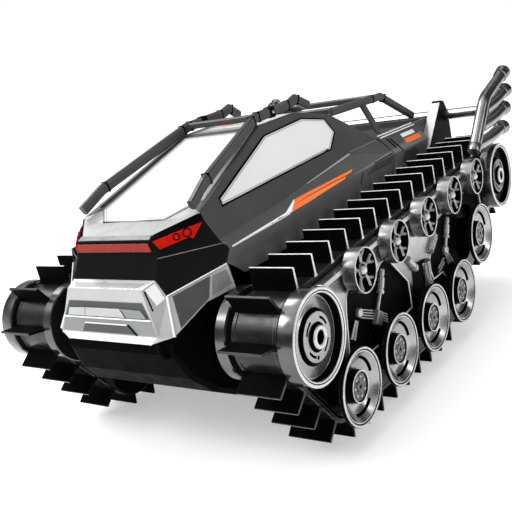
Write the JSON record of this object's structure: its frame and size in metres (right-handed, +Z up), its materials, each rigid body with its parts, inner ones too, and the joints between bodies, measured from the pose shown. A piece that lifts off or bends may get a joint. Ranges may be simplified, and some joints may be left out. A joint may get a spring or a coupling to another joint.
{
  "type": "tracked vehicle chassis",
  "caption": "Radio-controlled tracked chassis with rubber paddle belts over coupled wheels, a low angular cab body, tube cage, load bed, spoiler and side exhausts.",
  "frame": {"origin": "on the ground, under the centre of the bounding box", "axes": "+Z up, the nose faces -Y, +X is the vehicle's left side"},
  "size_m": [0.2052, 0.3246, 0.1696],
  "materials": {
    "hull_black": "moulded, fine grain",
    "shell_grey": "moulded, satin dark grey",
    "mask_black": "moulded, low gloss black",
    "silver_trim": "satin silver paint on plastic",
    "cowl_grey": "satin light grey paint on plastic",
    "glazing": "opaque silver-white tint",
    "roof_white": "white paint with an orange flash",
    "lamp_red": "translucent red lens",
    "cage_grey": "moulded, satin grey",
    "exhaust_plate": "bright plated plastic",
    "track_rubber": "moulded soft rubber",
    "drive_plate": "satin plated plastic",
    "wheel_plate": "black rim with a satin plated face",
    "roller_plate": "black with a plated rim and hub",
    "gear_nylon": "natural nylon",
    "pinion_brass": "machined brass",
    "motor_steel": "plated steel can",
    "board_green": "solder-masked board",
    "battery_blue": "shrink-wrapped cells",
    "switch_red": "moulded red"
  },
  "bodies": {
    "root": {"lower_hull": "hull_black", "battery_pack": "battery_blue", "circuit_board": "board_green", "cab_shell": "shell_grey", "front_mask": "mask_black", "nose_plate": "silver_trim", "cowl": "cowl_grey", "windscreen": "glazing", "roof_panel": "roof_white", "side_window_left": "glazing", "side_window_right": "glazing", "light_bar": "lamp_red", "headlight_left": "lamp_red", "headlight_right": "lamp_red", "front_cage": "cage_grey", "rear_rack": "cage_grey", "cargo_bed": "shell_grey", "spoiler_bar": "exhaust_plate", "track_frame_left": "hull_black", "side_skirt_left": "hull_black", "track_belt_left": "track_rubber", "drive_motor_left": "motor_steel", "spoiler_fin_left": "shell_grey", "exhaust_left": "exhaust_plate", "track_frame_right": "hull_black", "side_skirt_right": "hull_black", "track_belt_right": "track_rubber", "drive_motor_right": "motor_steel", "spoiler_fin_right": "shell_grey", "exhaust_right": "exhaust_plate"},
    "drive_wheel_left": {"drive_wheel_left": "drive_plate", "drive_gear_left": "gear_nylon"},
    "return_roller_1_left": {"return_roller_1_left": "roller_plate"},
    "return_roller_2_left": {"return_roller_2_left": "roller_plate"},
    "return_roller_3_left": {"return_roller_3_left": "roller_plate"},
    "return_roller_4_left": {"return_roller_4_left": "roller_plate"},
    "return_roller_5_left": {"return_roller_5_left": "roller_plate"},
    "idler_wheel_left": {"idler_wheel_left": "drive_plate"},
    "road_wheel_1_left": {"road_wheel_1_left": "wheel_plate"},
    "road_wheel_2_left": {"road_wheel_2_left": "wheel_plate"},
    "road_wheel_3_left": {"road_wheel_3_left": "wheel_plate"},
    "road_wheel_4_left": {"road_wheel_4_left": "wheel_plate"},
    "road_wheel_5_left": {"road_wheel_5_left": "wheel_plate"},
    "motor_pinion_left": {"motor_pinion_left": "pinion_brass"},
    "drive_wheel_right": {"drive_wheel_right": "drive_plate", "drive_gear_right": "gear_nylon"},
    "return_roller_1_right": {"return_roller_1_right": "roller_plate"},
    "return_roller_2_right": {"return_roller_2_right": "roller_plate"},
    "return_roller_3_right": {"return_roller_3_right": "roller_plate"},
    "return_roller_4_right": {"return_roller_4_right": "roller_plate"},
    "return_roller_5_right": {"return_roller_5_right": "roller_plate"},
    "idler_wheel_right": {"idler_wheel_right": "drive_plate"},
    "road_wheel_1_right": {"road_wheel_1_right": "wheel_plate"},
    "road_wheel_2_right": {"road_wheel_2_right": "wheel_plate"},
    "road_wheel_3_right": {"road_wheel_3_right": "wheel_plate"},
    "road_wheel_4_right": {"road_wheel_4_right": "wheel_plate"},
    "road_wheel_5_right": {"road_wheel_5_right": "wheel_plate"},
    "motor_pinion_right": {"motor_pinion_right": "pinion_brass"},
    "battery_door": {"battery_door": "hull_black"},
    "power_switch": {"power_switch": "switch_red"}
  },
  "joints": [
    {"name": "drive_spin_left", "type": "hinge", "parent": "root", "child": "drive_wheel_left", "pos_m": [0.1, -0.1288, 0.0703], "axis": [1, 0, 0], "continuous": true},
    {"name": "return_roller_spin_1_left", "type": "hinge", "parent": "root", "child": "return_roller_1_left", "pos_m": [0.1, -0.078, 0.0848], "axis": [1, 0, 0], "continuous": true},
    {"name": "return_roller_spin_2_left", "type": "hinge", "parent": "root", "child": "return_roller_2_left", "pos_m": [0.1, -0.0372, 0.0874], "axis": [1, 0, 0], "continuous": true},
    {"name": "return_roller_spin_3_left", "type": "hinge", "parent": "root", "child": "return_roller_3_left", "pos_m": [0.1, 0.0036, 0.09], "axis": [1, 0, 0], "continuous": true},
    {"name": "return_roller_spin_4_left", "type": "hinge", "parent": "root", "child": "return_roller_4_left", "pos_m": [0.1, 0.0444, 0.0926], "axis": [1, 0, 0], "continuous": true},
    {"name": "return_roller_spin_5_left", "type": "hinge", "parent": "root", "child": "return_roller_5_left", "pos_m": [0.1, 0.0852, 0.0952], "axis": [1, 0, 0], "continuous": true},
    {"name": "idler_spin_left", "type": "hinge", "parent": "root", "child": "idler_wheel_left", "pos_m": [0.1, 0.1294, 0.086], "axis": [1, 0, 0], "continuous": true},
    {"name": "road_spin_1_left", "type": "hinge", "parent": "root", "child": "road_wheel_1_left", "pos_m": [0.1, -0.0997, 0.0322], "axis": [1, 0, 0], "continuous": true},
    {"name": "road_spin_2_left", "type": "hinge", "parent": "root", "child": "road_wheel_2_left", "pos_m": [0.1, -0.0533, 0.0322], "axis": [1, 0, 0], "continuous": true},
    {"name": "road_spin_3_left", "type": "hinge", "parent": "root", "child": "road_wheel_3_left", "pos_m": [0.1, -0.0069, 0.0322], "axis": [1, 0, 0], "continuous": true},
    {"name": "road_spin_4_left", "type": "hinge", "parent": "root", "child": "road_wheel_4_left", "pos_m": [0.1, 0.0395, 0.0322], "axis": [1, 0, 0], "continuous": true},
    {"name": "road_spin_5_left", "type": "hinge", "parent": "root", "child": "road_wheel_5_left", "pos_m": [0.1, 0.081, 0.0576], "axis": [1, 0, 0], "continuous": true},
    {"name": "pinion_spin_left", "type": "hinge", "parent": "root", "child": "motor_pinion_left", "pos_m": [0.0356, -0.11203, 0.0642], "axis": [1, 0, 0], "continuous": true},
    {"name": "drive_spin_right", "type": "hinge", "parent": "root", "child": "drive_wheel_right", "pos_m": [-0.1, -0.1288, 0.0703], "axis": [1, 0, 0], "continuous": true},
    {"name": "return_roller_spin_1_right", "type": "hinge", "parent": "root", "child": "return_roller_1_right", "pos_m": [-0.1, -0.078, 0.0848], "axis": [1, 0, 0], "continuous": true},
    {"name": "return_roller_spin_2_right", "type": "hinge", "parent": "root", "child": "return_roller_2_right", "pos_m": [-0.1, -0.0372, 0.0874], "axis": [1, 0, 0], "continuous": true},
    {"name": "return_roller_spin_3_right", "type": "hinge", "parent": "root", "child": "return_roller_3_right", "pos_m": [-0.1, 0.0036, 0.09], "axis": [1, 0, 0], "continuous": true},
    {"name": "return_roller_spin_4_right", "type": "hinge", "parent": "root", "child": "return_roller_4_right", "pos_m": [-0.1, 0.0444, 0.0926], "axis": [1, 0, 0], "continuous": true},
    {"name": "return_roller_spin_5_right", "type": "hinge", "parent": "root", "child": "return_roller_5_right", "pos_m": [-0.1, 0.0852, 0.0952], "axis": [1, 0, 0], "continuous": true},
    {"name": "idler_spin_right", "type": "hinge", "parent": "root", "child": "idler_wheel_right", "pos_m": [-0.1, 0.1294, 0.086], "axis": [1, 0, 0], "continuous": true},
    {"name": "road_spin_1_right", "type": "hinge", "parent": "root", "child": "road_wheel_1_right", "pos_m": [-0.1, -0.0997, 0.0322], "axis": [1, 0, 0], "continuous": true},
    {"name": "road_spin_2_right", "type": "hinge", "parent": "root", "child": "road_wheel_2_right", "pos_m": [-0.1, -0.0533, 0.0322], "axis": [1, 0, 0], "continuous": true},
    {"name": "road_spin_3_right", "type": "hinge", "parent": "root", "child": "road_wheel_3_right", "pos_m": [-0.1, -0.0069, 0.0322], "axis": [1, 0, 0], "continuous": true},
    {"name": "road_spin_4_right", "type": "hinge", "parent": "root", "child": "road_wheel_4_right", "pos_m": [-0.1, 0.0395, 0.0322], "axis": [1, 0, 0], "continuous": true},
    {"name": "road_spin_5_right", "type": "hinge", "parent": "root", "child": "road_wheel_5_right", "pos_m": [-0.1, 0.081, 0.0576], "axis": [1, 0, 0], "continuous": true},
    {"name": "pinion_spin_right", "type": "hinge", "parent": "root", "child": "motor_pinion_right", "pos_m": [-0.0356, -0.11203, 0.0642], "axis": [1, 0, 0], "continuous": true},
    {"name": "battery_door_swing", "type": "hinge", "parent": "root", "child": "battery_door", "pos_m": [-0.0146, 0.021, 0.034], "axis": [0, 1, 0], "range_deg": [0, 85]},
    {"name": "power_switch_slide", "type": "slide", "parent": "root", "child": "power_switch", "axis": [0, 1, 0], "range_m": [0, 0.005]}
  ],
  "couplings": [
    {"joint": "return_roller_spin_1_left", "follows": "drive_spin_left", "ratio": 2.1954},
    {"joint": "return_roller_spin_2_left", "follows": "drive_spin_left", "ratio": 2.1954},
    {"joint": "return_roller_spin_3_left", "follows": "drive_spin_left", "ratio": 2.1954},
    {"joint": "return_roller_spin_4_left", "follows": "drive_spin_left", "ratio": 2.1954},
    {"joint": "return_roller_spin_5_left", "follows": "drive_spin_left", "ratio": 2.1954},
    {"joint": "idler_spin_left", "follows": "drive_spin_left", "ratio": 1.0214},
    {"joint": "road_spin_1_left", "follows": "drive_spin_left", "ratio": 1.104},
    {"joint": "road_spin_2_left", "follows": "drive_spin_left", "ratio": 0.95025},
    {"joint": "road_spin_3_left", "follows": "drive_spin_left", "ratio": 0.95025},
    {"joint": "road_spin_4_left", "follows": "drive_spin_left", "ratio": 0.95025},
    {"joint": "road_spin_5_left", "follows": "drive_spin_left", "ratio": 0.95025},
    {"joint": "pinion_spin_left", "follows": "drive_spin_left", "ratio": -2.6667},
    {"joint": "return_roller_spin_1_right", "follows": "drive_spin_right", "ratio": 2.1954},
    {"joint": "return_roller_spin_2_right", "follows": "drive_spin_right", "ratio": 2.1954},
    {"joint": "return_roller_spin_3_right", "follows": "drive_spin_right", "ratio": 2.1954},
    {"joint": "return_roller_spin_4_right", "follows": "drive_spin_right", "ratio": 2.1954},
    {"joint": "return_roller_spin_5_right", "follows": "drive_spin_right", "ratio": 2.1954},
    {"joint": "idler_spin_right", "follows": "drive_spin_right", "ratio": 1.0214},
    {"joint": "road_spin_1_right", "follows": "drive_spin_right", "ratio": 1.104},
    {"joint": "road_spin_2_right", "follows": "drive_spin_right", "ratio": 0.95025},
    {"joint": "road_spin_3_right", "follows": "drive_spin_right", "ratio": 0.95025},
    {"joint": "road_spin_4_right", "follows": "drive_spin_right", "ratio": 0.95025},
    {"joint": "road_spin_5_right", "follows": "drive_spin_right", "ratio": 0.95025},
    {"joint": "pinion_spin_right", "follows": "drive_spin_right", "ratio": -2.6667}
  ]
}
